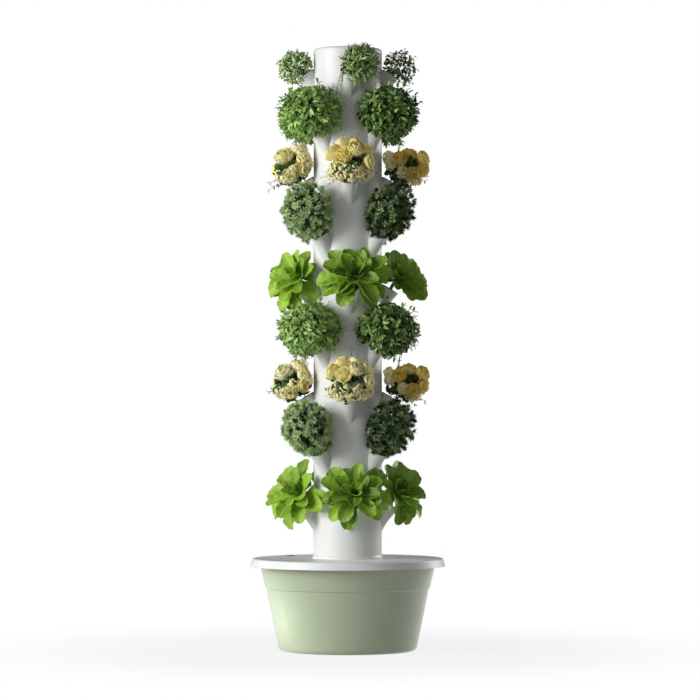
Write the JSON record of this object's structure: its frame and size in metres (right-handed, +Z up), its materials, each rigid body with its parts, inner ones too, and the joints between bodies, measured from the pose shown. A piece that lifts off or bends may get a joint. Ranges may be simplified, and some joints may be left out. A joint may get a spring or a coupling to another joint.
{
  "type": "hydroponic tower",
  "caption": "Free-standing hydroponic planting tower: stacked white column sections with tilted cup ports, plants, a round green reservoir with lid, and a pump and riser inside.",
  "frame": {"origin": "centre of the reservoir's underside, on the ground", "axes": "+Z up along the tower, -Y to the front, +X to the right seen from the front"},
  "size_m": [0.5, 0.5, 1.541],
  "materials": {
    "sage_basin": "moulded, soft gloss",
    "white_lid": "moulded, soft gloss",
    "white_tower": "moulded, soft gloss",
    "steel_pin": "drawn",
    "black_rubber": "moulded",
    "pump_black": "moulded",
    "rotor_white": "moulded",
    "shaft_ceramic": "ground",
    "dial_grey": "moulded",
    "riser_white": "extruded pipe",
    "cup_black": "moulded",
    "plug_fibre": "coco fibre",
    "lettuce_leaf": "living leaf, waxy",
    "fine_leaf": "living leaf, matt",
    "posy": "petals and leaves",
    "bush_leaf": "living leaf, waxy",
    "herb_leaf": "living leaf, matt"
  },
  "bodies": {
    "reservoir": {"reservoir_basin": "sage_basin", "reservoir_lid": "white_lid", "hatch_hinge_pin": "steel_pin", "cord_grommet": "black_rubber", "pump_housing": "pump_black", "rotor_shaft": "shaft_ceramic", "volute_cover": "pump_black", "intake_strainer": "pump_black", "pump_feet": "black_rubber", "riser_pipe_lower": "riser_white", "riser_pipe_middle": "riser_white", "riser_pipe_upper": "riser_white", "riser_couplers": "riser_white", "drip_head": "riser_white"},
    "hatch": {"refill_hatch": "white_lid"},
    "rotor": {"pump_rotor": "rotor_white"},
    "dial": {"flow_dial": "dial_grey"},
    "tower": {"tower_pedestal": "white_tower", "tower_section_1": "white_tower", "tower_section_2": "white_tower", "tower_section_3": "white_tower", "tower_section_4": "white_tower", "tower_section_5": "white_tower", "tower_section_6": "white_tower", "tower_section_7": "white_tower", "tower_section_8": "white_tower", "tower_section_9": "white_tower", "net_cups_tier_1": "cup_black", "net_cups_tier_2": "cup_black", "net_cups_tier_3": "cup_black", "net_cups_tier_4": "cup_black", "net_cups_tier_5": "cup_black", "net_cups_tier_6": "cup_black", "net_cups_tier_7": "cup_black", "net_cups_tier_8": "cup_black", "net_cups_tier_9": "cup_black", "grow_plugs_tier_1": "plug_fibre", "grow_plugs_tier_2": "plug_fibre", "grow_plugs_tier_3": "plug_fibre", "grow_plugs_tier_4": "plug_fibre", "grow_plugs_tier_5": "plug_fibre", "grow_plugs_tier_6": "plug_fibre", "grow_plugs_tier_7": "plug_fibre", "grow_plugs_tier_8": "plug_fibre", "grow_plugs_tier_9": "plug_fibre", "lettuces_tier_1": "lettuce_leaf", "fine_domes_tier_2": "fine_leaf", "posies_tier_3": "posy", "bushes_tier_4": "bush_leaf", "lettuces_tier_5": "lettuce_leaf", "fine_domes_tier_6": "fine_leaf", "posies_tier_7": "posy", "bushes_tier_8": "bush_leaf", "herbs_tier_9": "herb_leaf"},
    "cap": {"top_cap": "white_tower"}
  },
  "joints": [
    {"name": "tower_turn", "type": "hinge", "parent": "reservoir", "child": "tower", "pos_m": [0, 0, 0.236], "axis": [0, 0, 1], "continuous": true},
    {"name": "hatch_open", "type": "hinge", "parent": "reservoir", "child": "hatch", "pos_m": [0, 0.218, 0.2404], "axis": [-1, 0, 0], "range_deg": [0, 105]},
    {"name": "rotor_spin", "type": "hinge", "parent": "reservoir", "child": "rotor", "pos_m": [0, 0, 0.038], "axis": [0, 1, 0], "continuous": true},
    {"name": "dial_turn", "type": "hinge", "parent": "reservoir", "child": "dial", "pos_m": [0, -0.034, 0.038], "axis": [0, 1, 0], "range_deg": [0, 90]},
    {"name": "cap_lift", "type": "slide", "parent": "tower", "child": "cap", "axis": [0, 0, 1], "range_m": [0, 0.06]}
  ]
}
